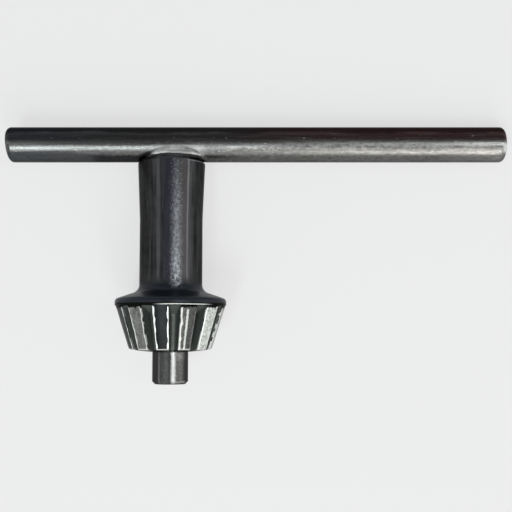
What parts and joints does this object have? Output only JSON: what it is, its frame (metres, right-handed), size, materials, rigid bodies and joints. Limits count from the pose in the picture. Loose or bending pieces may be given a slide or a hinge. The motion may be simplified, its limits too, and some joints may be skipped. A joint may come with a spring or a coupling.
{
  "type": "drill chuck key",
  "caption": "T-handle key for a geared drill chuck: bevel pinion with a plain pilot, a round shank and an off-centre round bar welded across its end.",
  "frame": {"origin": "on the key axis, where the pilot leaves the small end of the pinion", "axes": "-Y along the key axis out of the pilot's end, +X along the handle bar towards its long arm, +Z square to the T"},
  "size_m": [0.0849, 0.0435, 0.0186],
  "materials": {
    "blackened_steel": "black oxide, satin, worn bright on the tooth lands",
    "drawn_steel": "dark drawn rod, semi-bright, streaked lengthwise",
    "weld_metal": "raw weld metal, grey"
  },
  "bodies": {
    "root": {"key_body": "blackened_steel", "handle_bar": "drawn_steel", "weld_front": "weld_metal", "weld_rear": "weld_metal"}
  },
  "joints": []
}
